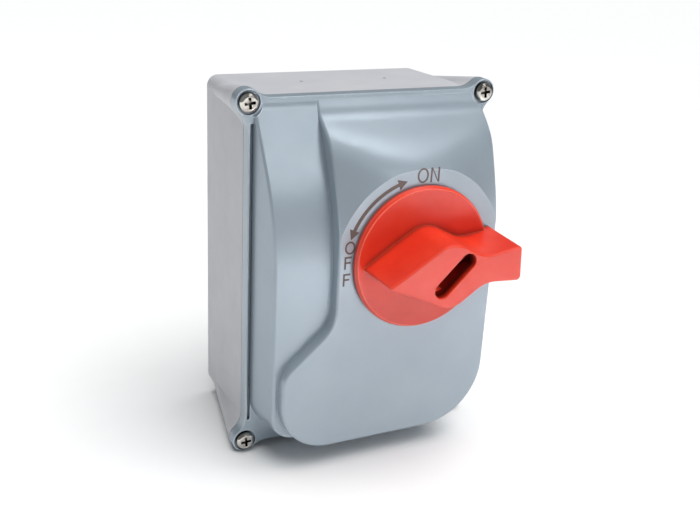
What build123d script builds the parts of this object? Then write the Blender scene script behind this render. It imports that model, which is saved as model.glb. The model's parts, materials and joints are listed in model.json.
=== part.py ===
from build123d import *
import math
import os

# Rotary isolator switch in a moulded wall enclosure. Millimetres.
# Origin: centre of the flat wall face. +Z is up, the front faces -Y and +X is to the right.
# Each piece is drawn lying on its back, as on a bench: x to the right, y up the wall and z out of
# the wall. stand_up() then turns it into the finished frame.

# Enclosure
back_half_w = 65.3
back_half_h = 94.6
seam_half_w = 67.4
seam_half_h = 96.7
back_corner_r = 6.0
housing_depth = 66.0
flange_t = 6.8
wall = 3.2
cavity_corner_r = 15.0
draft_deg = 4.0

# Cover screws and the corner lugs that take them
screw_x = 67.2
screw_y = 94.55
lug_r = 6.9
fairing_r = 12.0
horn_scale = 0.5
counterbore_r = 6.2
counterbore_depth = 1.2
screw_head_r = 5.0
screw_head_h = 3.4
screw_shank_r = 2.4
insert_r = 3.6
insert_len = 12.0
screw_hole_r = 2.8
screw_relief_r = 7.4

# Raised front of the cover
strip_rise = 25.0
strip_left = -65.7
strip_bottom = -87.5
strip_corner_r = 18.0
strip_draft_deg = 8.0
strip_slope_deg = 24.0
toe_r = 12.0
crown_r = 150.0
panel_rise = 31.0
panel_right = 66.0
panel_left = -32.2
panel_bottom = -90.7
lobe_left = -60.6
lobe_corner_r = 30.0
panel_corner_r = 38.0
gutter_w = 1.7
gutter_depth = 2.2
seam_chamfer = 0.45
step_bend_r = 18.0
step_bend_deg = 48.3
step_bend_top = -8.0

# Dial and handle
dial_x = 17.1
dial_y = 16.3
ring_r = 48.0
cone_slope = 0.5
cone_cap_r = 20.0
slope_top = 95.0
slope_first_deg = 12.0
slope_deg = 53.0
slope_toe_r = 18.0
slope_blend = 7.0
slope_points = 29
disc_r = 38.8
disc_gap = 0.5
disc_t = 3.6
dish_depth = 2.4
grip_wall = 3.2
grip_front_t = 6.0
grip_h = 31.3
rest_tilt = 3.7
slot_len = 28.0
slot_w = 8.8
slot_turn = 41.5
slot_x = 3.3
slot_edge_r = 0.6
grip_edge_r = 1.1
stem_r = 9.0
run_clear = 0.05
tip_reach = 35.6
tail_reach = 43.2
belly_apex = 19.7
waist_apex = 7.8
tail_half = 10.6
grip_draft = 0.8
bushing_r = 13.0
bushing_flange_r = 17.0
oring_mid_r = 10.1
tab_rest = 45.0
tab_half = 10.0
tab_r0 = 12.4
rib_r = 16.4
rib_half = 6.0
stop_gap = 1.5
screw_core_r = 2.0

# Drive line
shaft_side = 6.0
socket_side = 6.6
deck_w = 46.0
deck_h = 62.0
deck_t = 12.0
deck_count = 3
chamber_r = 15.5
rotor_r = 6.5
blade_r = 13.6
rail_top = 16.0

# Wall mounting
wall_hole_x = 50.0
wall_hole_y = 80.0
wall_hole_r = 2.75
boss_r = 7.0

# Things fixed inside the housing
rail_foot_z = 8.5
rail_half_len = 39.0
rail_screw_off = 33.0
plate_t = 5.0
head_t = 15.0
assembly_screw_off = 18.5
assembly_core_r = 1.9
rail_lip_y = 17.5
aux_w = 12.0
aux_screw_y = (-18.0, -6.0, 6.0, 18.0)
earth_clamp_x = (-12.0, -4.0, 4.0, 12.0)
contact_half_w = 4.5
contact_t = 1.5
contact_drop = 4.2
foot_y = 25.5
earth_y = -68.0
earth_foot_z = 14.0
earth_post_off = 20.0
drill_mark_x = (-22.8, 27.7)

flange_z = housing_depth + flange_t
plateau_z = flange_z + panel_rise
ceiling_z = plateau_z - wall
disc_back_z = plateau_z + disc_gap
grip_top_z = plateau_z + grip_h
bushing_z = ceiling_z - 2.2
stop_t = 2.3
stop_z = bushing_z - 0.5 - stop_t
socket_end_z = stop_z - 2.6
coupling_z = stop_z - 15.6
oring_z = ceiling_z + 1.2
deck_z = rail_top + plate_t
head_z = deck_z + deck_count * deck_t
head_top_z = head_z + head_t
dial = Pos(dial_x, dial_y, 0)
corners = [(sx, sy) for sx in (-1, 1) for sy in (-1, 1)]


def stand_up(shape):
    """Turn a piece drawn on its back so that it hangs on the wall."""
    return Compound([Rot(90, 0, 0) * solid for solid in shape.solids()])


def save(name, shape):
    export_step(stand_up(shape), f"parts/{name}.step")


def box(x0, x1, y0, y1, z0, z1):
    """A block from its low and high corners."""
    return Pos((x0 + x1) / 2, (y0 + y1) / 2, (z0 + z1) / 2) * Box(x1 - x0, y1 - y0, z1 - z0)


def rod(radius, z0, z1):
    """A cylinder on the local z axis."""
    return Pos(0, 0, (z0 + z1) / 2) * Cylinder(radius, z1 - z0)


def tube(outer, inner, z0, z1):
    return rod(outer, z0, z1) - rod(inner, z0 - 1, z1 + 1)


def group(solids):
    """Separate solids kept in one node."""
    return Compound([s for shape in solids for s in shape.solids()])


def point_on(centre, radius, towards):
    """The point of a circle nearest to another point."""
    dx = towards[0] - centre[0]
    dy = towards[1] - centre[1]
    reach = math.hypot(dx, dy)
    return (centre[0] + dx * radius / reach, centre[1] + dy * radius / reach)


# ---------------------------------------------------------------- enclosure outline

def lug_outline(sx, sy, scale):
    """One screw lug with the concave fairings that blend it into the two walls."""
    screw = (screw_x, screw_y)
    reach = fairing_r + lug_r
    side_c = (seam_half_w + fairing_r,
              screw_y - math.sqrt(reach ** 2 - (seam_half_w + fairing_r - screw_x) ** 2))
    top_c = (screw_x - math.sqrt(reach ** 2 - (seam_half_h + fairing_r - screw_y) ** 2),
             seam_half_h + fairing_r)
    wall_pt = (seam_half_w, side_c[1])
    roof_pt = (top_c[0], seam_half_h)
    side_t = point_on(screw, lug_r, side_c)
    top_t = point_on(screw, lug_r, top_c)
    side_mid = point_on(side_c, fairing_r, ((wall_pt[0] + side_t[0]) / 2, (wall_pt[1] + side_t[1]) / 2))
    top_mid = point_on(top_c, fairing_r, ((roof_pt[0] + top_t[0]) / 2, (roof_pt[1] + top_t[1]) / 2))
    tip = point_on(screw, lug_r, (2 * screw_x, 2 * screw_y))
    anchor = (roof_pt[0], wall_pt[1])

    def place(p):
        x = anchor[0] + (p[0] - anchor[0]) * scale
        y = anchor[1] + (p[1] - anchor[1]) * scale
        return (sx * x, sy * y)

    a, b, c, d, e, f, g, h = [place(p) for p in
                              (anchor, wall_pt, side_mid, side_t, tip, top_t, top_mid, roof_pt)]
    edges = Line(a, b) + ThreePointArc(b, c, d) + ThreePointArc(d, e, f) + ThreePointArc(f, g, h)
    return make_face(edges + Line(h, a))


def rim_slab(z0, z1):
    """The seam outline with its four lugs, as a slab."""
    outline = RectangleRounded(2 * seam_half_w, 2 * seam_half_h, back_corner_r)
    for sx, sy in corners:
        outline += lug_outline(sx, sy, 1.0)
    return extrude(Pos(0, 0, z0) * outline, z1 - z0)


def at_screws(shape):
    return [Pos(sx * screw_x, sy * screw_y, 0) * shape for sx, sy in corners]


def seam_ring(outer_grow, z0, z1):
    """Path of the gasket: a rounded frame that passes inside the screws."""
    mid_w = seam_half_w - 1.8
    mid_h = seam_half_h - 1.8
    outer = RectangleRounded(2 * (mid_w + outer_grow), 2 * (mid_h + outer_grow), 16 + outer_grow)
    inner = RectangleRounded(2 * (mid_w - outer_grow), 2 * (mid_h - outer_grow), 16 - outer_grow)
    return extrude(Pos(0, 0, z0) * (outer - inner), z1 - z0)


# ---------------------------------------------------------------- rear housing

def rear_housing():
    flare = math.degrees(math.atan((seam_half_w - back_half_w) / housing_depth))
    back = RectangleRounded(2 * back_half_w, 2 * back_half_h, back_corner_r)
    body = extrude(back, housing_depth, taper=-flare)
    for sx, sy in corners:
        wide = Pos(0, 0, housing_depth) * lug_outline(sx, sy, 1.0)
        narrow = Pos(0, 0, 3) * lug_outline(sx, sy, horn_scale)
        body += loft([narrow, wide], ruled=True)
    floor = RectangleRounded(2 * (back_half_w - wall), 2 * (back_half_h - wall), cavity_corner_r)
    body -= extrude(Pos(0, 0, wall) * floor, housing_depth, taper=-flare * 0.8)
    for sx, sy in corners:
        body += Pos(sx * wall_hole_x, sy * wall_hole_y, 0) * rod(boss_r, 1, wall + 4)
        body -= Pos(sx * wall_hole_x, sy * wall_hole_y, 0) * rod(wall_hole_r, -1, 20)
    for hole in at_screws(rod(insert_r, housing_depth - insert_len, housing_depth + 1)):
        body -= hole
    for side in (-1, 1):
        rail_post = Pos(dial_x + side * rail_screw_off, dial_y, 0)
        earth_post = Pos(side * earth_post_off, earth_y, 0)
        body += rail_post * rod(6, 1, rail_foot_z)
        body -= rail_post * rod(1.6, rail_foot_z - 5, rail_foot_z + 1)
        body += earth_post * rod(5, 1, earth_foot_z)
        body -= earth_post * rod(1.6, earth_foot_z - 8, earth_foot_z + 1)
    for x in drill_mark_x:
        body -= Pos(x, back_half_h + 1.0, 32) * Rot(90, 0, 0) * Cylinder(1.0, 1.2)
    return body


def threaded_inserts():
    """Brass sleeves moulded into the housing lugs."""
    top = housing_depth - 0.2
    return group(at_screws(tube(insert_r, screw_shank_r, housing_depth - insert_len, top)))


def pan_screw(head_r, head_h, shank_r, length):
    """Pan head screw with a cross recess: the head sits on z = 0 and the shank runs to -z."""
    top = fillet(rod(head_r, 0, head_h).edges().group_by(Axis.Z)[-1], head_h * 0.55)
    screw = top + rod(shank_r, -length, 0.01)
    arm = head_r * 1.15
    slot = head_r * 0.3
    floor = head_h * 0.3
    screw -= box(-arm / 2, arm / 2, -slot / 2, slot / 2, floor, head_h + 1)
    screw -= box(-slot / 2, slot / 2, -arm / 2, arm / 2, floor, head_h + 1)
    return screw


def cover_screws():
    seat = flange_z - counterbore_depth
    return group(at_screws(Pos(0, 0, seat) * Rot(0, 0, 6) * pan_screw(
        screw_head_r, screw_head_h, screw_shank_r, seat - housing_depth + 10)))


# ---------------------------------------------------------------- front cover

def strip_profile(inset):
    """Side view of the lower step: flush at the top edge, then a slope that eases into a level run."""
    start = (95 - inset, flange_z - 0.4 * inset)
    slope = math.radians(strip_slope_deg)
    climb = strip_rise - (toe_r + crown_r) * (1 - math.cos(slope)) - 0.6 * inset
    toe = JernArc(start, (-1, 0), toe_r, -strip_slope_deg)
    rise = Line(toe @ 1, toe @ 1 + (toe % 1) * (climb / math.sin(slope)))
    crown = JernArc(rise @ 1, rise % 1, crown_r, strip_slope_deg)
    top = (crown @ 1).Y
    foot = Polyline(crown @ 1, (-97, top), (-97, housing_depth - 1), (95 - inset, housing_depth - 1), start)
    return make_face(toe + rise + crown + foot)


def slope_height(x, y):
    """Front of the panel above the dial: a slope up from the top edge, blended into a cone that
    falls away from the ring."""
    first = math.radians(slope_first_deg)
    last = math.radians(slope_deg)
    run = slope_top - y
    toe_run = slope_toe_r * (math.sin(last) - math.sin(first))
    angle = math.asin(min(max(run, 0) / slope_toe_r + math.sin(first), math.sin(last)))
    toe = slope_toe_r * (math.cos(first) - math.cos(angle)) + min(run, 0) * math.tan(first)
    slope = flange_z + toe + max(run - toe_run, 0) * math.tan(last)
    top_r = math.hypot(ring_r, cone_cap_r)
    reach = math.hypot(x - dial_x, y - dial_y, cone_cap_r)
    cone = plateau_z + cone_slope * top_r / ring_r * (top_r - reach)
    overlap = max(slope_blend - abs(slope - cone), 0)
    return min(slope, cone) - overlap ** 2 / (4 * slope_blend)


def slope_body(inset):
    """The block under that smooth front, reaching well below the seam."""
    across_x = [-40 + 116 * i / (slope_points - 1) for i in range(slope_points)]
    up_y = [dial_y - 6 + (slope_top + 12 - dial_y) * j / (slope_points - 1) for j in range(slope_points)]
    points = [[Vector(x, y, slope_height(x, y) - 1.35 * inset) for y in up_y] for x in across_x]
    front = Face.make_surface_from_array_of_points(points, tol=0.05, min_deg=3, max_deg=5)
    return extrude(front, 70, dir=(0, 0, -1))


def across(profile, x0, x1):
    """Run a side view across the width."""
    plane = Plane(origin=(x0, 0, 0), x_dir=(0, 1, 0), z_dir=(1, 0, 0))
    return extrude(plane * profile, x1 - x0)


def panel_outline():
    """Front view of the raised panel: a lobe under the strip, an S bend, then a straight edge up."""
    turn = math.radians(step_bend_deg)
    start = Vector(panel_left, step_bend_top)
    upper = JernArc(start, (0, -1), step_bend_r, -step_bend_deg)
    drop = (upper @ 1).X - lobe_left - step_bend_r * (1 - math.cos(turn))
    slant = Line(upper @ 1, upper @ 1 + (upper % 1) * (drop / math.sin(turn)))
    lower = JernArc(slant @ 1, slant % 1, step_bend_r, step_bend_deg)
    left_run = Line(lower @ 1, (lobe_left, panel_bottom + lobe_corner_r))
    left_corner = JernArc(left_run @ 1, (0, -1), lobe_corner_r, 90)
    bottom_run = Line(left_corner @ 1, (panel_right - panel_corner_r, panel_bottom))
    right_corner = JernArc(bottom_run @ 1, (1, 0), panel_corner_r, 90)
    sides = Polyline(right_corner @ 1, (panel_right, 97), (panel_left, 97), start)
    return make_face(upper + slant + lower + left_run + left_corner + bottom_run + right_corner + sides)


def panel_body(inset):
    """The main panel: level at the dial and below, and a smooth slope above the dial."""
    top = plateau_z - inset
    reach = top - housing_depth + 1
    lower = box(-99, 99, -99, dial_y, housing_depth - 1, top)
    upper = slope_body(inset) & box(-99, 99, dial_y, slope_top - inset, housing_depth - 1, top)
    outline = Pos(0, 0, housing_depth - 1) * offset(panel_outline(), -inset)
    prism = extrude(outline, reach + 5, taper=draft_deg)
    return (lower + upper) & prism


def strip_body(inset):
    """The lower step of the front, which shows as a strip left of the panel."""
    shape = across(strip_profile(inset), -99, 20)
    left = strip_left + inset
    bottom = strip_bottom + inset
    outline = Pos((left + 60) / 2, (bottom + 140) / 2, housing_depth - 1) * RectangleRounded(
        60 - left, 140 - bottom, strip_corner_r - inset)
    prism = extrude(outline, strip_rise + flange_t + 5, taper=strip_draft_deg)
    return shape & prism


def roof_rim(shape):
    """The edges round the front-facing faces, where they meet the side walls."""
    roof = [f for f in shape.faces() if f.normal_at().Z > 0.5]
    walls = [f for f in shape.faces() if abs(f.normal_at().Z) < 0.3]
    on_walls = [e for f in walls for e in f.edges()]
    return [e for f in roof for e in f.edges() if any(e.is_same(w) for w in on_walls)]


def front_cover():
    slab = rim_slab(housing_depth, flange_z)
    slab = fillet(slab.edges().group_by(Axis.Z)[-1], 0.6)
    slab = chamfer(slab.edges().group_by(Axis.Z)[0], seam_chamfer)
    strip = strip_body(0)
    strip = fillet(roof_rim(strip), 1.5)
    panel = panel_body(0)
    panel = fillet(roof_rim(panel), 1.5)
    cover = slab + strip + panel
    keep_in = extrude(Pos(0, 0, housing_depth - 2) * RectangleRounded(125, 183.6, cavity_corner_r), 60)
    cover -= (strip_body(wall) + panel_body(wall)) & keep_in
    cover -= seam_ring(1.2, housing_depth - 1, housing_depth + 2.2)
    for relief in at_screws(rod(screw_relief_r, flange_z, grip_top_z)):
        cover -= relief
    for bore in at_screws(rod(counterbore_r, flange_z - counterbore_depth, grip_top_z)):
        cover -= bore
    for bore in at_screws(rod(screw_hole_r, housing_depth - 1, flange_z)):
        cover -= bore
    cover -= dial * rod(bushing_r, ceiling_z - 1, plateau_z + 1)
    cover -= box(-99, 99, -120, 120, housing_depth - 5, housing_depth)
    foot = strip_left + (flange_t + 1) * math.tan(math.radians(strip_draft_deg))
    cover -= box(foot - gutter_w, foot + 0.1, -82, 84, flange_z - gutter_depth, flange_z + 0.3)
    return cover


def cover_gasket():
    return seam_ring(1.2, housing_depth, housing_depth + 2.2)


# ---------------------------------------------------------------- handle and its bearing

def on_dial(shape):
    """Place a fixed piece on the dial axis."""
    return dial * shape


def turned(shape):
    """Place a turning piece on the dial axis, at the angle where the handle rests."""
    return dial * Rot(0, 0, rest_tilt) * shape


def grip_outline():
    """Front view of the grip: pointed tip, full belly, narrow waist and flared tail."""
    lower = [(-tip_reach, 0), (1.4, -belly_apex), (21.5, -waist_apex), (tail_reach, -tail_half)]
    upper = [(x, -y) for x, y in reversed(lower[1:])]
    face = make_face(Polyline(lower + upper, close=True))
    rounding = ((-tip_reach, 1.5), (1.4, 14.0), (21.5, 16.0), (tail_reach, 3.0))
    for x, radius in rounding:
        face = fillet([v for v in face.vertices() if abs(v.X - x) < 0.01], radius)
    return face


def rotary_handle():
    """Dished disc, pointed grip and bearing stem, moulded in one."""
    rim = disc_back_z + disc_t
    edge = disc_r - 1.1
    lip = edge - 0.7
    dish = rim - dish_depth
    section = Polyline((0, disc_back_z), (disc_r, disc_back_z), (disc_r, rim - 1.6), (edge, rim), (lip, rim))
    bowl = ThreePointArc((lip, rim), (lip * 0.6, rim - dish_depth * 0.75), (0, dish))
    face = make_face(section + bowl + Line((0, dish), (0, disc_back_z)))
    upright = Plane(origin=(0, 0, 0), x_dir=(1, 0, 0), z_dir=(0, -1, 0))
    disc = revolve(upright * face, Axis.Z)
    height = grip_top_z - disc_back_z
    foot = grip_outline()
    top = offset(foot, -grip_draft)
    grip = loft([Pos(0, 0, disc_back_z) * foot, Pos(0, 0, grip_top_z) * top], ruled=True)
    grip = fillet(grip.edges().group_by(Axis.Z)[-1], grip_edge_r)
    slot = Pos(slot_x, 0, 0) * Rot(0, 0, slot_turn) * SlotOverall(slot_len, slot_w)
    slot_floor = rim + 0.6
    grip -= extrude(Pos(0, 0, slot_floor) * slot, height)
    front = grip.faces().sort_by(Axis.Z)[-1]
    grip = fillet(front.inner_wires()[0].edges(), slot_edge_r)
    grip -= extrude(Pos(0, 0, slot_floor) * offset(foot, -grip_wall), grip_top_z - grip_front_t - slot_floor)
    grip -= box(-11, 5, -30, -3, slot_floor, slot_floor + 10)
    stem = rod(stem_r, stop_z + stop_t, disc_back_z + 0.5)
    stem -= rod(screw_core_r, stop_z, disc_back_z + 1)
    return turned(disc + grip + stem)


def handle_bushing():
    """Bearing sleeve pressed into the cover, with two ribs that stop the handle at OFF and ON."""
    sleeve = rod(bushing_r, ceiling_z - 0.01, plateau_z) + rod(bushing_flange_r, bushing_z, ceiling_z)
    sleeve -= rod(stem_r + run_clear, bushing_z - 1, plateau_z + 1)
    sleeve -= rod(oring_mid_r + 1.1, oring_z - 1.1, oring_z + 1.1)
    half_turn = tab_half + stop_gap + rib_half
    for angle in (tab_rest + half_turn, tab_rest - 90 - half_turn):
        sleeve += Rot(0, 0, angle + rest_tilt) * sector(tab_r0, rib_r, rib_half, stop_z - 0.4, bushing_z + 1)
    return on_dial(sleeve)


def sector(inner, outer, half_angle, z0, z1):
    """A block between two radii, centred on the local x axis."""
    a = math.radians(half_angle)
    ring = tube(outer, inner, z0, z1)
    far = outer * 2
    wedge = Polyline((0, 0), (far * math.cos(a), -far * math.sin(a)),
                     (far * math.cos(a), far * math.sin(a)), (0, 0))
    return ring & extrude(Pos(0, 0, z0) * make_face(wedge), z1 - z0)


def stem_oring():
    return on_dial(Pos(0, 0, oring_z) * Torus(oring_mid_r, 1.0))


def stop_plate():
    """Plate under the stem that holds the handle in its bushing and meets the two ribs."""
    plate = rod(tab_r0 - 0.4, stop_z, stop_z + stop_t)
    plate += Rot(0, 0, tab_rest) * sector(5, bushing_flange_r - 0.6, tab_half, stop_z, stop_z + stop_t)
    plate -= rod(screw_core_r, stop_z - 1, stop_z + stop_t + 1)
    return turned(plate)


def shaft_coupling():
    """Socket that drops over the square shaft when the cover is fitted."""
    sleeve = rod(9, coupling_z, stop_z)
    sleeve -= box(-socket_side / 2, socket_side / 2, -socket_side / 2, socket_side / 2,
                  coupling_z - 1, socket_end_z)
    sleeve -= rod(screw_core_r, socket_end_z - 1, stop_z + 1)
    return turned(chamfer(sleeve.edges().group_by(Axis.Z)[0], 0.6))


def coupling_screw():
    """Screw that ties coupling, stop plate and handle together, driven from inside."""
    screw = Pos(0, 0, socket_end_z) * Rot(180, 0, 0) * pan_screw(
        2.9, 1.8, screw_core_r, disc_back_z - socket_end_z - 2)
    return turned(screw)


# ---------------------------------------------------------------- switch mechanism

def drive_shaft():
    half = shaft_side / 2
    bar = box(-half, half, -half, half, deck_z + 0.5, socket_end_z - 3)
    return turned(chamfer(bar.edges().group_by(Axis.Z)[-1], 0.8))


def shaft_hole(z0, z1):
    half = shaft_side / 2
    return box(-half, half, -half, half, z0, z1)


def contact_rotor():
    """Insulating drum on the shaft, slotted for one bridge in each deck."""
    drum = rod(rotor_r, deck_z + 0.5, head_z - 0.5)
    for k in range(deck_count):
        z = deck_z + (k + 0.5) * deck_t - contact_drop
        drum += rod(rotor_r + 2.0, z + contact_t, z + contact_t + 2.4)
        drum -= bridge_bar(z)
    return turned(drum - shaft_hole(deck_z, head_z))


def bridge_bar(z):
    bar = box(-blade_r, blade_r, -contact_half_w, contact_half_w, z, z + contact_t)
    return bar & rod(blade_r, z, z + contact_t)


def moving_bridges():
    """One contact bridge in each deck, level when the switch is off."""
    bars = []
    for k in range(deck_count):
        z = deck_z + (k + 0.5) * deck_t - contact_drop
        bars.append(turned(bridge_bar(z) - shaft_hole(z - 1, z + contact_t + 1)))
    return group(bars)


def detent_cam():
    """Four-notch wheel that holds the drive at OFF and ON."""
    z0 = head_z + 3
    wheel = rod(9.0, z0, z0 + 6)
    for k in range(4):
        wheel -= Rot(0, 0, 90 * k) * Pos(10.2, 0, 0) * rod(2.6, z0 - 1, z0 + 7)
    return turned(wheel - shaft_hole(z0 - 1, z0 + 7))


def deck_columns(radius, z0, z1):
    return [Pos(sx * assembly_screw_off, sy * assembly_screw_off, 0) * rod(radius, z0, z1)
            for sx, sy in corners]


def mounting_plate():
    """Rear plate of the switch, with the hook for the upper lip of the rail."""
    plate = box(-deck_w / 2, deck_w / 2, -deck_h / 2, deck_h / 2, rail_top, deck_z)
    plate += box(-12, 12, rail_lip_y + 0.2, rail_lip_y + 3.4, rail_top - 3.5, rail_top + 0.5)
    plate += box(-12, 12, rail_lip_y - 2.0, rail_lip_y + 0.5, rail_top - 3.5, rail_top - 1.2)
    for hole in deck_columns(assembly_core_r, rail_top - 1, deck_z + 1):
        plate -= hole
    return on_dial(plate)


def rail_latch():
    """Sprung foot that grips the lower lip of the rail, with a slot for a screwdriver."""
    foot = box(-8, 8, -rail_lip_y - 3.4, -rail_lip_y - 0.2, rail_top - 3.5, rail_top)
    foot += box(-8, 8, -rail_lip_y - 0.5, -rail_lip_y + 2.0, rail_top - 3.5, rail_top - 1.2)
    foot += box(-5, 5, -rail_lip_y - 18, -rail_lip_y - 3, rail_top - 3.0, rail_top - 0.5)
    foot -= box(-2.5, 2.5, -rail_lip_y - 15.5, -rail_lip_y - 13, rail_top - 5, rail_top + 1)
    return on_dial(foot)


def mounting_rail():
    """Top-hat rail, 35 mm across its lips."""
    base = box(-rail_half_len, rail_half_len, -13.5, 13.5, rail_foot_z, rail_foot_z + 1)
    rail = base
    for side in (-1, 1):
        web = sorted((side * 12.5, side * 13.5))
        lip = sorted((side * 12.5, side * rail_lip_y))
        rail += box(-rail_half_len, rail_half_len, web[0], web[1], rail_foot_z, rail_top)
        rail += box(-rail_half_len, rail_half_len, lip[0], lip[1], rail_top - 1, rail_top)
        rail -= Pos(side * rail_screw_off, 0, 0) * rod(1.6, rail_foot_z - 1, rail_foot_z + 2)
    return on_dial(rail)


def rail_screws():
    screw = pan_screw(3.6, 2.4, 1.6, 5.5)
    seats = [Pos(side * rail_screw_off, 0, rail_foot_z + 1) for side in (-1, 1)]
    return group([on_dial(seat * screw) for seat in seats])


def contact_deck(k):
    """One insulating deck: a round chamber with a terminal pocket above and below."""
    z0 = deck_z + k * deck_t
    mid = z0 + deck_t / 2
    leg_z = mid - contact_drop
    deck = box(-deck_w / 2, deck_w / 2, -deck_h / 2, deck_h / 2, z0, z0 + deck_t)
    deck -= rod(chamber_r, z0 + 1.2, z0 + deck_t + 1)
    deck -= rod(rotor_r + 0.8, z0 - 1, z0 + 2)
    for side in (-1, 1):
        leg = sorted((side * 13.0, side * (foot_y + 1)))
        pocket = sorted((side * foot_y, side * (deck_h / 2 + 1)))
        deck -= box(-contact_half_w, contact_half_w, leg[0], leg[1], leg_z, leg_z + contact_t)
        deck -= box(-9, 9, pocket[0], pocket[1], mid - contact_drop, mid + contact_drop)
        deck -= Pos(0, side * (foot_y - 3), mid) * Rot(90, 0, 0) * Cylinder(2.0, 8)
    for hole in deck_columns(assembly_core_r, z0 - 1, z0 + deck_t + 1):
        deck -= hole
    return on_dial(deck)


def switch_head():
    """Front housing of the switch, round the detent."""
    head = box(-deck_w / 2, deck_w / 2, -deck_w / 2, deck_w / 2, head_z, head_top_z)
    head = chamfer(head.edges().group_by(Axis.Z)[-1], 1.5)
    head -= rod(10.5, head_z + 2.0, head_z + 10.0)
    head -= rod(rotor_r, head_z - 1, head_z + 3)
    head -= rod(5.0, head_z + 9, head_top_z + 1)
    for side in (-1, 1):
        head -= Pos(side * 15, 0, head_z + 6) * Rot(0, 90, 0) * Cylinder(2.2, 13)
    for hole in deck_columns(assembly_core_r, head_z - 1, head_top_z + 1):
        head -= hole
    return on_dial(head)


def assembly_screws():
    screw = pan_screw(3.6, 2.4, assembly_core_r, head_top_z - rail_top - 1)
    seats = [Pos(sx * assembly_screw_off, sy * assembly_screw_off, head_top_z) for sx, sy in corners]
    return group([on_dial(seat * screw) for seat in seats])


def detent_plungers():
    """Round-nosed pins that face the notched wheel."""
    pins = []
    for side in (-1, 1):
        pin = rod(2.0, 0, 6)
        pin = fillet(pin.edges().group_by(Axis.Z)[0], 1.6)
        pins.append(on_dial(Pos(side * 9.4, 0, head_z + 6) * Rot(0, side * 90, 0) * pin))
    return group(pins)


def detent_springs():
    """Coil springs that push the pins towards the wheel."""
    coils = []
    for side in (-1, 1):
        path = Helix(pitch=1.25, height=5.0, radius=1.5)
        wire = sweep(Plane(origin=path @ 0, z_dir=path % 0) * Circle(0.28), path=path)
        coils.append(on_dial(Pos(side * 15.8, 0, head_z + 6) * Rot(0, side * 90, 0) * wire))
    return group(coils)


def contact_side(side, pieces):
    """Fixed contacts, clamps or screws of one side, one for each deck."""
    made = []
    for k in range(deck_count):
        mid = deck_z + (k + 0.5) * deck_t
        made.append(on_dial(Pos(0, 0, mid) * Rot(0, 0, 0 if side > 0 else 180) * pieces))
    return group(made)


def fixed_contact():
    """Copper strip from the chamber to a foot bent square to it."""
    leg = box(-contact_half_w, contact_half_w, 14.1, foot_y + 1.5, -contact_drop, -contact_drop + contact_t)
    foot = box(-contact_half_w, contact_half_w, foot_y, foot_y + 1.5, -contact_drop, contact_drop)
    hole = Pos(0, foot_y, 0) * Rot(90, 0, 0) * Cylinder(1.7, 6)
    return leg + (foot - hole)


def clamp_washer():
    plate = box(-4.2, 4.2, foot_y + 1.5, foot_y + 2.7, -4.0, 4.0)
    return plate - Pos(0, foot_y, 0) * Rot(90, 0, 0) * Cylinder(1.7, 8)


def terminal_screw():
    return Pos(0, foot_y + 2.7, 0) * Rot(-90, 0, 0) * pan_screw(3.4, 2.2, 1.7, 8.5)


def auxiliary_block():
    """Small side block for the signal contacts."""
    x0 = deck_w / 2
    block = box(x0, x0 + aux_w, -24, 24, deck_z + 2, head_z + 6)
    block = chamfer(block.edges().group_by(Axis.X)[-1], 1.0)
    for y in aux_screw_y:
        block -= Pos(x0 + aux_w / 2, y, 0) * rod(3.1, head_z + 3, head_z + 7)
        block -= Pos(x0 + aux_w / 2, y, 0) * rod(1.5, head_z - 6, head_z + 4)
    return on_dial(block)


def auxiliary_screws():
    screw = pan_screw(2.8, 1.8, 1.5, 8)
    seats = [Pos(deck_w / 2 + aux_w / 2, y, head_z + 3) for y in aux_screw_y]
    return group([on_dial(seat * screw) for seat in seats])


# ---------------------------------------------------------------- earth terminal

def earth_bar():
    bar = box(-25, 25, earth_y - 4.5, earth_y + 4.5, earth_foot_z, earth_foot_z + 8)
    for x in earth_clamp_x:
        bar -= Pos(x, earth_y, earth_foot_z + 4) * Rot(90, 0, 0) * Cylinder(1.9, 12)
        bar -= Pos(x, earth_y, 0) * rod(1.5, earth_foot_z + 5, earth_foot_z + 9)
    for side in (-1, 1):
        bar -= Pos(side * earth_post_off, earth_y, 0) * rod(1.6, earth_foot_z - 1, earth_foot_z + 9)
    return bar


def earth_screws():
    """Two fixing screws and four shorter clamp screws."""
    fixing = pan_screw(3.4, 2.2, 1.6, 15)
    clamp = pan_screw(2.9, 2.0, 1.5, 2.6)
    top = earth_foot_z + 8
    placed = [Pos(side * earth_post_off, earth_y, top) * fixing for side in (-1, 1)]
    placed += [Pos(x, earth_y, top) * clamp for x in earth_clamp_x]
    return group(placed)


# ---------------------------------------------------------------- files

def write_parts():
    save("rear_housing", rear_housing())
    save("threaded_inserts", threaded_inserts())
    save("front_cover", front_cover())
    save("cover_gasket", cover_gasket())
    save("cover_screws", cover_screws())
    save("rotary_handle", rotary_handle())
    save("handle_bushing", handle_bushing())
    save("stem_oring", stem_oring())
    save("stop_plate", stop_plate())
    save("shaft_coupling", shaft_coupling())
    save("coupling_screw", coupling_screw())
    save("drive_shaft", drive_shaft())
    save("contact_rotor", contact_rotor())
    save("moving_bridges", moving_bridges())
    save("detent_cam", detent_cam())
    save("detent_plungers", detent_plungers())
    save("detent_springs", detent_springs())
    save("switch_head", switch_head())
    save("mounting_plate", mounting_plate())
    for k, place in enumerate(("rear", "middle", "front")):
        save(f"contact_deck_{place}", contact_deck(k))
    save("assembly_screws", assembly_screws())
    for side, name in ((1, "line"), (-1, "load")):
        save(f"{name}_contacts", contact_side(side, fixed_contact()))
        save(f"{name}_clamp_washers", contact_side(side, clamp_washer()))
        save(f"{name}_terminal_screws", contact_side(side, terminal_screw()))
    save("auxiliary_block", auxiliary_block())
    save("auxiliary_screws", auxiliary_screws())
    save("mounting_rail", mounting_rail())
    save("rail_screws", rail_screws())
    save("rail_latch", rail_latch())
    save("earth_bar", earth_bar())
    save("earth_screws", earth_screws())


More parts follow.
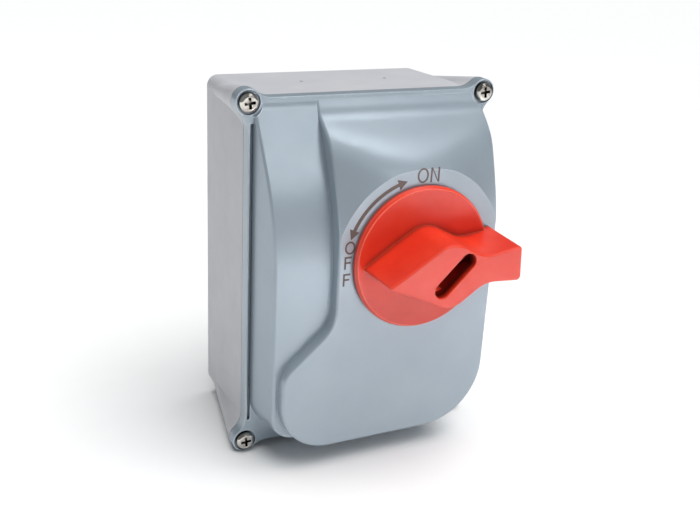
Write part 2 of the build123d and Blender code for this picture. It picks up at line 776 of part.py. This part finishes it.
os.makedirs("parts", exist_ok=True)
write_parts()
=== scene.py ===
"""Looks of the rotary isolator switch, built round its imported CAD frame. Metres, +Z up, front to -Y."""

import json
import math

import bmesh
import bpy
from mathutils import Matrix, Vector


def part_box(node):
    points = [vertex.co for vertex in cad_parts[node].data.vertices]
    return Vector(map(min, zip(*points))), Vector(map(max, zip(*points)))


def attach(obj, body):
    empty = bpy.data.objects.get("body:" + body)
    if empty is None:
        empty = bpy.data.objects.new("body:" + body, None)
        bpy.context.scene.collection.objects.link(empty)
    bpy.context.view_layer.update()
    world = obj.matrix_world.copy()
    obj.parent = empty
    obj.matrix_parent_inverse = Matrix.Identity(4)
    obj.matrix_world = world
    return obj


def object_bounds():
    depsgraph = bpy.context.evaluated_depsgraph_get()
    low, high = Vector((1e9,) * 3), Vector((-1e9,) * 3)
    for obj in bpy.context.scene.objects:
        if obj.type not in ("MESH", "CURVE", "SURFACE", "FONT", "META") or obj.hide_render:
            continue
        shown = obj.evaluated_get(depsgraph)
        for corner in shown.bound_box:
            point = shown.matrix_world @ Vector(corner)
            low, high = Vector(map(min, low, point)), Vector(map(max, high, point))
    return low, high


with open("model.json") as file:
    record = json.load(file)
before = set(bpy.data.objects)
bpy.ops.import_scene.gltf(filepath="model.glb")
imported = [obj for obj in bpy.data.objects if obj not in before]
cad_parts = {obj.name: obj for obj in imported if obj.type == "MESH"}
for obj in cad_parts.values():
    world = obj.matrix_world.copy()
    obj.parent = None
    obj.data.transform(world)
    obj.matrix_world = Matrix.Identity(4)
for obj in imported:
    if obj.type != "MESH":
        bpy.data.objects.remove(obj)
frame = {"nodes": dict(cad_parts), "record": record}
cad_low, cad_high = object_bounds()
nodes = frame["nodes"]

MM = 0.001

# The dial's axis runs along Y through the middle of the bearing sleeve.
bush_low, bush_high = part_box("handle_bushing")
DIAL_X = (bush_low.x + bush_high.x) / 2
DIAL_Z = (bush_low.z + bush_high.z) / 2
# The ring that carries the marks is the cover's foremost face.
RING_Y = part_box("front_cover")[0].y

# The padlock slot starts at the grip's front. Its middle is off the dial's axis, along the tilted grip.
GRIP_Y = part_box("rotary_handle")[0].y
REST_TILT = math.radians(3.7)
SLOT_TURN = math.radians(41.5) + REST_TILT
SLOT_OFF = 3.3 * MM
SLOT_X = DIAL_X + SLOT_OFF * math.cos(REST_TILT)
SLOT_Z = DIAL_Z + SLOT_OFF * math.sin(REST_TILT)
SLOT_HALF_LEN = 14.6 * MM
SLOT_HALF_WIDTH = 5.0 * MM
# The painted shade on the slot's walls is at its darkest this far in, and begins at a share of that depth.
SLOT_SHADE = 4.0 * MM
SLOT_SHADE_START = 0.08
SLOT_DARKEST = 0.9

# Noise: the part of its range that is used, its octaves and how strong the finer ones are.
NOISE_LOW = 0.3
NOISE_HIGH = 0.7
NOISE_DETAIL = 4.0
NOISE_ROUGHNESS = 0.55
TARNISH_LOW = 0.35
TARNISH_HIGH = 0.65
# Features per metre of each kind of unevenness.
MOTTLE_SCALE = 45.0
MOULDED_GLOSS_SCALE = 120.0
TARNISH_SCALE = 160.0
METAL_GLOSS_SCALE = 400.0
METAL_GRAIN_SCALE = 900.0
# How far the grain stands proud.
FINE_GRAIN = 0.01 * MM

# How open a surface is where its painted crease shade is full, and where it has gone.
SOFT_CREASE_SHADE = (0.15, 0.75)
GRIP_CREASE_SHADE = (0.2, 0.75)
SCREW_CREASE_SHADE = (0.35, 0.85)
CREASE_SAMPLES = 8
# How nearly the rounded and the true surface agree where the painted edge highlight is full, and where it
# has gone.
FULL_EDGE_HIGHLIGHT = 0.9
PLAIN_FACE = 0.995
EDGE_SAMPLES = 6

# The ink's front stands this far off the ring, and the ink is this thick.
INK_LIFT = 0.08 * MM
INK_THICKNESS = 0.06 * MM
OVAL_STEPS = 40

FLOOR_HALF = 6.0
FLOOR_GAP = 0.3 * MM


# ---------------------------------------------------------------- materials

def linear(red, green, blue):
    """A colour given as 0-255 display values, in the renderer's linear light."""
    def channel(value):
        v = value / 255
        return v / 12.92 if v <= 0.04045 else ((v + 0.055) / 1.055) ** 2.4
    return (channel(red), channel(green), channel(blue), 1.0)


def new_material(name):
    """An empty material, with its node tree, its shader and the place on the object."""
    material = bpy.data.materials.new(name)
    material.use_nodes = True
    tree = material.node_tree
    shader = tree.nodes["Principled BSDF"]
    place = tree.nodes.new("ShaderNodeTexCoord")
    return material, tree, shader, place.outputs["Object"]


def noise(tree, place, scale, detail=NOISE_DETAIL):
    """Noise at a given number of features per metre."""
    node = tree.nodes.new("ShaderNodeTexNoise")
    node.inputs["Scale"].default_value = scale
    node.inputs["Detail"].default_value = detail
    node.inputs["Roughness"].default_value = NOISE_ROUGHNESS
    tree.links.new(place, node.inputs["Vector"])
    return node.outputs["Fac"]


def ramp(tree, fac, stops):
    """A colour ramp between two (position, colour) stops."""
    node = tree.nodes.new("ShaderNodeValToRGB")
    for element, (position, colour) in zip(node.color_ramp.elements, stops):
        element.position = position
        element.color = colour
    tree.links.new(fac, node.inputs["Fac"])
    return node.outputs["Color"]


def spread(tree, fac, low, high, start=NOISE_LOW, end=NOISE_HIGH):
    """Maps a value that runs from start to end onto low to high, and holds it there beyond them."""
    node = tree.nodes.new("ShaderNodeMapRange")
    node.inputs["From Min"].default_value = start
    node.inputs["From Max"].default_value = end
    node.inputs["To Min"].default_value = low
    node.inputs["To Max"].default_value = high
    tree.links.new(fac, node.inputs["Value"])
    return node.outputs["Result"]


def bump(tree, shader, height, distance):
    """Raises the surface's grain by up to a distance in metres."""
    node = tree.nodes.new("ShaderNodeBump")
    node.inputs["Distance"].default_value = distance
    tree.links.new(height, node.inputs["Height"])
    tree.links.new(node.outputs["Normal"], shader.inputs["Normal"])


def mix_colours(tree, factor, first, second):
    """Blends two colour outputs by a 0-1 factor."""
    blend = tree.nodes.new("ShaderNodeMix")
    blend.data_type = "RGBA"
    tree.links.new(factor, blend.inputs["Factor"])
    tree.links.new(first, blend.inputs["A"])
    tree.links.new(second, blend.inputs["B"])
    return blend.outputs["Result"]


def plain(tree, colour):
    """One colour, as an output that can be blended."""
    node = tree.nodes.new("ShaderNodeRGB")
    node.outputs["Color"].default_value = colour
    return node.outputs["Color"]


def painted_crease_shade(tree, reach, closed, open_at):
    """1 on open surfaces, falling to 0 deep in a crease: the mask for painted shade in creases."""
    node = tree.nodes.new("ShaderNodeAmbientOcclusion")
    node.samples = CREASE_SAMPLES
    node.inputs["Distance"].default_value = reach
    return spread(tree, node.outputs["AO"], 0.0, 1.0, closed, open_at)


def painted_edge_highlight(tree, width):
    """1 along rounded edges, where a highlight is painted, and 0 on flat faces."""
    rounded = tree.nodes.new("ShaderNodeBevel")
    rounded.samples = EDGE_SAMPLES
    rounded.inputs["Radius"].default_value = width
    facing = tree.nodes.new("ShaderNodeNewGeometry")
    likeness = tree.nodes.new("ShaderNodeVectorMath")
    likeness.operation = "DOT_PRODUCT"
    tree.links.new(rounded.outputs["Normal"], likeness.inputs[0])
    tree.links.new(facing.outputs["Normal"], likeness.inputs[1])
    return spread(tree, likeness.outputs["Value"], 1.0, 0.0, FULL_EDGE_HIGHLIGHT, PLAIN_FACE)


def painted_slot_shade(tree, place):
    """0 outside the padlock slot, rising to SLOT_DARKEST down its walls: painted shade where light hardly
    reaches.
    """
    fit = tree.nodes.new("ShaderNodeMapping")
    fit.vector_type = "TEXTURE"
    fit.inputs["Location"].default_value = (SLOT_X, GRIP_Y, SLOT_Z)
    fit.inputs["Rotation"].default_value = (0, -SLOT_TURN, 0)
    fit.inputs["Scale"].default_value = (SLOT_HALF_LEN, SLOT_SHADE, SLOT_HALF_WIDTH)
    tree.links.new(place, fit.inputs["Vector"])
    split = tree.nodes.new("ShaderNodeSeparateXYZ")
    tree.links.new(fit.outputs["Vector"], split.inputs["Vector"])
    depth = spread(tree, split.outputs["Y"], 0.0, SLOT_DARKEST, SLOT_SHADE_START, 1.0)
    for axis in ("X", "Z"):
        size = tree.nodes.new("ShaderNodeMath")
        size.operation = "ABSOLUTE"
        tree.links.new(split.outputs[axis], size.inputs[0])
        within = tree.nodes.new("ShaderNodeMath")
        within.operation = "LESS_THAN"
        within.inputs[1].default_value = 1.0
        tree.links.new(size.outputs["Value"], within.inputs[0])
        both = tree.nodes.new("ShaderNodeMath")
        both.operation = "MULTIPLY"
        tree.links.new(depth, both.inputs[0])
        tree.links.new(within.outputs["Value"], both.inputs[1])
        depth = both.outputs["Value"]
    return depth


def add_painted_crease_shade(tree, colour, crease_shade):
    """Paints shade into a colour's creases, from a reach in metres, a shade colour and a range of
    openness.
    """
    reach, shade, openness = crease_shade
    return mix_colours(tree, painted_crease_shade(tree, reach, *openness), plain(tree, shade), colour)


def moulded(name, light, dark, rough, grain=1200.0, depth=FINE_GRAIN, specular=0.5,
            metallic=0.0, crease_shade=None, edge_highlight=None, slot_painted_shade=None):
    """Moulded plastic: faint mottling of colour, uneven gloss, a fine grain from the mould, and painted
    shade and highlights if asked.
    rough is a range of roughness, the painted edge highlight is a width and a colour, and the slot's
    painted shade is a colour."""
    material, tree, shader, place = new_material(name)
    mottle = noise(tree, place, MOTTLE_SCALE)
    colour = ramp(tree, mottle, [(NOISE_LOW, dark), (NOISE_HIGH, light)])
    if edge_highlight:
        width, highlight_colour = edge_highlight
        colour = mix_colours(tree, painted_edge_highlight(tree, width), colour, plain(tree, highlight_colour))
    if crease_shade:
        colour = add_painted_crease_shade(tree, colour, crease_shade)
    if slot_painted_shade:
        colour = mix_colours(tree, painted_slot_shade(tree, place), colour, plain(tree, slot_painted_shade))
    tree.links.new(colour, shader.inputs["Base Color"])
    gloss = spread(tree, noise(tree, place, MOULDED_GLOSS_SCALE), *rough)
    tree.links.new(gloss, shader.inputs["Roughness"])
    bump(tree, shader, noise(tree, place, grain, detail=2.0), depth)
    shader.inputs["Specular IOR Level"].default_value = specular
    shader.inputs["Metallic"].default_value = metallic
    return material


def metal(name, light, dark, rough, crease_shade=None):
    """Plated or machined metal with slight tarnish, fine marks and, if asked, painted shade in its
    creases. rough is a range of roughness.
    """
    material, tree, shader, place = new_material(name)
    tarnish = noise(tree, place, TARNISH_SCALE)
    colour = ramp(tree, tarnish, [(TARNISH_LOW, dark), (TARNISH_HIGH, light)])
    if crease_shade:
        colour = add_painted_crease_shade(tree, colour, crease_shade)
    tree.links.new(colour, shader.inputs["Base Color"])
    gloss = spread(tree, noise(tree, place, METAL_GLOSS_SCALE), *rough)
    tree.links.new(gloss, shader.inputs["Roughness"])
    bump(tree, shader, noise(tree, place, METAL_GRAIN_SCALE, detail=3.0), FINE_GRAIN)
    shader.inputs["Metallic"].default_value = 1.0
    return material


# A range of roughness that crosses about 0.27 comes out of the denoiser in hard-edged blotches,
# so every range stays on one side of it.
finishes = {
    "enclosure_back": moulded(
        "enclosure_back", linear(196, 197, 201), linear(190, 191, 196), rough=(0.4, 0.48),
        # Painted shade in the creases of the housing.
        crease_shade=(3.0 * MM, linear(84, 88, 94), SOFT_CREASE_SHADE)),
    "enclosure_cover": moulded(
        "enclosure_cover", linear(159, 172, 182), linear(154, 167, 178), rough=(0.29, 0.34),
        specular=1.0, metallic=0.35,
        # Painted shade in the cover's creases.
        crease_shade=(4.0 * MM, linear(100, 112, 124), SOFT_CREASE_SHADE),
        # A painted highlight along the cover's rounded edges.
        edge_highlight=(0.9 * MM, linear(216, 226, 236))),
    "red_plastic": moulded(
        "red_plastic", linear(227, 62, 38), linear(217, 48, 29), rough=(0.3, 0.42),
        grain=900.0, depth=0.02 * MM, specular=0.75,
        # Painted shade in the creases round the grip.
        crease_shade=(8.0 * MM, linear(60, 2, 1), GRIP_CREASE_SHADE),
        # A painted highlight along the grip's edges, and painted shade down the padlock slot.
        edge_highlight=(1.1 * MM, linear(250, 120, 92)), slot_painted_shade=linear(44, 0, 0)),
    "bearing_plastic": moulded(
        "bearing_plastic", linear(52, 52, 54), linear(40, 40, 42), rough=(0.35, 0.45)),
    "insulator_plastic": moulded(
        "insulator_plastic", linear(62, 63, 66), linear(50, 51, 54), rough=(0.45, 0.6)),
    "switch_head_plastic": moulded(
        "switch_head_plastic", linear(214, 214, 208), linear(204, 204, 197), rough=(0.4, 0.5)),
    "seal_rubber": moulded(
        "seal_rubber", linear(34, 34, 35), linear(26, 26, 27), rough=(0.7, 0.85)),
    "screw_steel": metal(
        # The wide spread between light and dark patches is painted reflection on top of slight tarnish:
        # the dark patches stand in for dark surroundings the chrome would mirror.
        "screw_steel", linear(232, 228, 220), linear(150, 144, 138), rough=(0.1, 0.2),
        # Painted shade in the screw's cross recess and round its head.
        crease_shade=(2.2 * MM, linear(16, 13, 12), SCREW_CREASE_SHADE)),
    "zinc_steel": metal(
        "zinc_steel", linear(205, 207, 205), linear(178, 180, 182), rough=(0.29, 0.42)),
    "spring_steel": metal(
        "spring_steel", linear(170, 172, 176), linear(150, 152, 156), rough=(0.29, 0.36)),
    "brass": metal(
        "brass", linear(214, 180, 104), linear(190, 154, 82), rough=(0.29, 0.38)),
    "contact_copper": metal(
        "contact_copper", linear(214, 144, 104), linear(188, 118, 82), rough=(0.29, 0.4)),
    "print_ink": moulded(
        "print_ink", linear(104, 88, 82), linear(94, 80, 75), rough=(0.5, 0.6)),
}

for entry in frame["record"]["subparts"]:
    piece = nodes[entry["node"]]
    piece.data.materials.clear()
    piece.data.materials.append(finishes[entry["material_slot"]])


# ---------------------------------------------------------------- printed marks

def dial_point(radius, degrees):
    """The (x, z) of a point on the ring: degrees run anticlockwise from the right, seen from the front."""
    a = math.radians(degrees)
    return DIAL_X + radius * math.cos(a), DIAL_Z + radius * math.sin(a)


def printed(name, outlines):
    """Thin raised ink: each outline is a flat list of (x, z) corners in metres on the ring face."""
    mesh = bmesh.new()
    for outline in outlines:
        front = [mesh.verts.new((x, RING_Y - INK_LIFT, z)) for x, z in outline]
        face = mesh.faces.new(front)
        face.normal_update()
        if face.normal.y > 0:
            face.normal_flip()
    data = bpy.data.meshes.new(name)
    mesh.to_mesh(data)
    mesh.free()
    piece = bpy.data.objects.new(name, data)
    bpy.context.scene.collection.objects.link(piece)
    solid = piece.modifiers.new("ink", "SOLIDIFY")
    solid.thickness = INK_THICKNESS
    solid.offset = -1
    data.materials.append(finishes["print_ink"])
    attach(piece, "enclosure")


def letter_o(centre, half_w, half_h, stroke):
    """Quads between an outer and an inner oval."""
    x, z = centre
    quads = []
    for k in range(OVAL_STEPS):
        corners = []
        for turn, inset in ((k, 0), (k + 1, 0), (k + 1, stroke), (k, stroke)):
            a = 2 * math.pi * turn / OVAL_STEPS
            corners.append((x + (half_w - inset) * math.cos(a), z + (half_h - inset) * math.sin(a)))
        quads.append(corners)
    return quads


def bar(x0, x1, z0, z1):
    """A straight stroke, upright or level."""
    return [(x0, z0), (x1, z0), (x1, z1), (x0, z1)]


def letter_f(centre, half_w, half_h, stroke):
    """A stem, a top arm and a shorter middle arm."""
    x, z = centre
    stem = x - half_w + stroke
    short_arm = half_w * 0.75
    arm_top = z + stroke * 0.6
    return [bar(x - half_w, stem, z - half_h, z + half_h),
            bar(stem, x + half_w, z + half_h - stroke, z + half_h),
            bar(stem, x + short_arm, arm_top - stroke, arm_top)]


def letter_n(centre, half_w, half_h, stroke):
    """Two stems and a slanting stroke between them."""
    x, z = centre
    slant = stroke * 1.25
    left = x - half_w + stroke
    right = x + half_w - stroke
    top = z + half_h
    foot = z - half_h
    return [bar(x - half_w, left, foot, top),
            bar(right, x + half_w, foot, top),
            [(left, top), (left, top - slant), (right, foot), (right, foot + slant)]]


def arrow_outlines():
    """A double-headed arrow bent round the dial, from beside OFF to beside ON."""
    radius = 42.8 * MM
    half_width = 0.95 * MM
    head_half_width = 2.9 * MM
    head_degrees = 6.8
    first = 155.0
    last = 111.0
    steps = 28
    outlines = []
    for k in range(steps):
        corners = []
        for turn, side in ((k, -1), (k + 1, -1), (k + 1, 1), (k, 1)):
            degrees = first + (last - first) * turn / steps
            corners.append(dial_point(radius + side * half_width, degrees))
        outlines.append(corners)
    for degrees, way in ((first, 1), (last, -1)):
        tip = dial_point(radius, degrees + way * head_degrees)
        inner = dial_point(radius - head_half_width, degrees)
        outer = dial_point(radius + head_half_width, degrees)
        outlines.append([tip, inner, outer])
    return outlines


def add_marks():
    """ON above the dial, OFF down its left side, and the arrow between them."""
    x, z = dial_point(radius=43.9 * MM, degrees=87.8)
    on_height = 3.9 * MM
    on_stroke = 0.9 * MM
    printed("mark_on", letter_o((x - 3.4 * MM, z), 3.2 * MM, on_height, on_stroke)
            + letter_n((x + 3.6 * MM, z), 2.6 * MM, on_height, on_stroke))
    off_stroke = 0.95 * MM
    off = letter_o(dial_point(radius=41.8 * MM, degrees=167.3), 2.9 * MM, 3.5 * MM, off_stroke)
    for radius, degrees in ((41.6 * MM, 178.4), (42.7 * MM, 190.9)):
        off += letter_f(dial_point(radius, degrees), 2.0 * MM, 3.4 * MM, off_stroke)
    printed("mark_off", off)
    printed("mark_arrow", arrow_outlines())


add_marks()


# ---------------------------------------------------------------- floor, light and camera

def add_floor():
    """A plain pale floor just under the switch."""
    mesh = bmesh.new()
    bmesh.ops.create_grid(mesh, x_segments=4, y_segments=4, size=FLOOR_HALF)
    data = bpy.data.meshes.new("floor")
    mesh.to_mesh(data)
    mesh.free()
    floor = bpy.data.objects.new("floor", data)
    floor.location = (0, 0, cad_low.z - FLOOR_GAP)
    bpy.context.scene.collection.objects.link(floor)
    paint = moulded("floor_paint", linear(250, 250, 250), linear(248, 248, 248), rough=(0.8, 0.9))
    data.materials.append(paint)


def add_box(name, place, target, size, watts, spread_deg):
    """A soft box: a flat light at a place, turned to face its target."""
    lamp = bpy.data.lights.new(name, "AREA")
    lamp.shape = "RECTANGLE"
    lamp.size, lamp.size_y = size
    lamp.energy = watts
    lamp.spread = math.radians(spread_deg)
    light = bpy.data.objects.new(name, lamp)
    light.location = place
    light.rotation_euler = (Vector(target) - Vector(place)).to_track_quat("-Z", "Y").to_euler()
    bpy.context.scene.collection.objects.link(light)


def add_sky(source, strength, width_deg):
    """A broad even light that keeps the whole floor pale, and that shiny surfaces don't mirror."""
    lamp = bpy.data.lights.new("ceiling", "SUN")
    lamp.energy = strength
    lamp.angle = math.radians(width_deg)
    light = bpy.data.objects.new("ceiling", lamp)
    light.rotation_euler = Vector(source).to_track_quat("Z", "Y").to_euler()
    light.visible_glossy = False
    bpy.context.scene.collection.objects.link(light)


def add_world(fill_colour, fill_strength):
    """White all round to the eye, and a softer fill for the light it gives."""
    world = bpy.data.worlds.new("studio")
    world.use_nodes = True
    tree = world.node_tree
    fill = tree.nodes["Background"]
    fill.inputs["Color"].default_value = fill_colour
    fill.inputs["Strength"].default_value = fill_strength
    seen = tree.nodes.new("ShaderNodeBackground")
    seen.inputs["Color"].default_value = (1, 1, 1, 1)
    seen.inputs["Strength"].default_value = 1.0
    rays = tree.nodes.new("ShaderNodeLightPath")
    mix = tree.nodes.new("ShaderNodeMixShader")
    tree.links.new(rays.outputs["Is Camera Ray"], mix.inputs["Fac"])
    tree.links.new(fill.outputs["Background"], mix.inputs[1])
    tree.links.new(seen.outputs["Background"], mix.inputs[2])
    tree.links.new(mix.outputs["Shader"], tree.nodes["World Output"].inputs["Surface"])
    bpy.context.scene.world = world


def add_studio():
    """Ceiling light, a soft box above and one at the front right, and a pool of light on the floor."""
    add_world(fill_colour=(0.95, 0.98, 1.0, 1), fill_strength=0.19)
    bpy.context.scene.view_settings.view_transform = "Standard"
    add_sky(source=(0.14, -0.22, 0.95), strength=3.0, width_deg=60)
    add_box("top_box", place=(0.3, -0.25, 0.85), target=(0, -0.08, 0), size=(0.3, 0.3),
            watts=0.8, spread_deg=180)
    add_box("front_box", place=(0.42, -1.0, 0.6), target=(0, -0.08, 0.02), size=(0.45, 0.4),
            watts=1.2, spread_deg=180)
    add_box("pool_box", place=(0.15, -0.75, 0.6), target=(0.13, -0.45, -0.1), size=(0.16, 0.16),
            watts=0.75, spread_deg=28)


def add_camera():
    """The camera stands to the left and above, and looks down and to the right at the switch."""
    place = (-0.22391, -0.50670, 0.19319)
    right = Vector((0.90261, -0.42757, 0.04986))
    up = Vector((0.11334, 0.34779, 0.93070))
    back = Vector((-0.41528, -0.83440, 0.36237))
    data = bpy.data.cameras.new("camera")
    data.lens = 49.2
    data.sensor_width = 36
    data.clip_start = 0.01
    camera = bpy.data.objects.new("camera", data)
    turn = Matrix((right, up, back)).transposed().to_4x4()
    camera.matrix_world = Matrix.Translation(place) @ turn
    bpy.context.scene.collection.objects.link(camera)
    bpy.context.scene.camera = camera


add_floor()
add_studio()
add_camera()
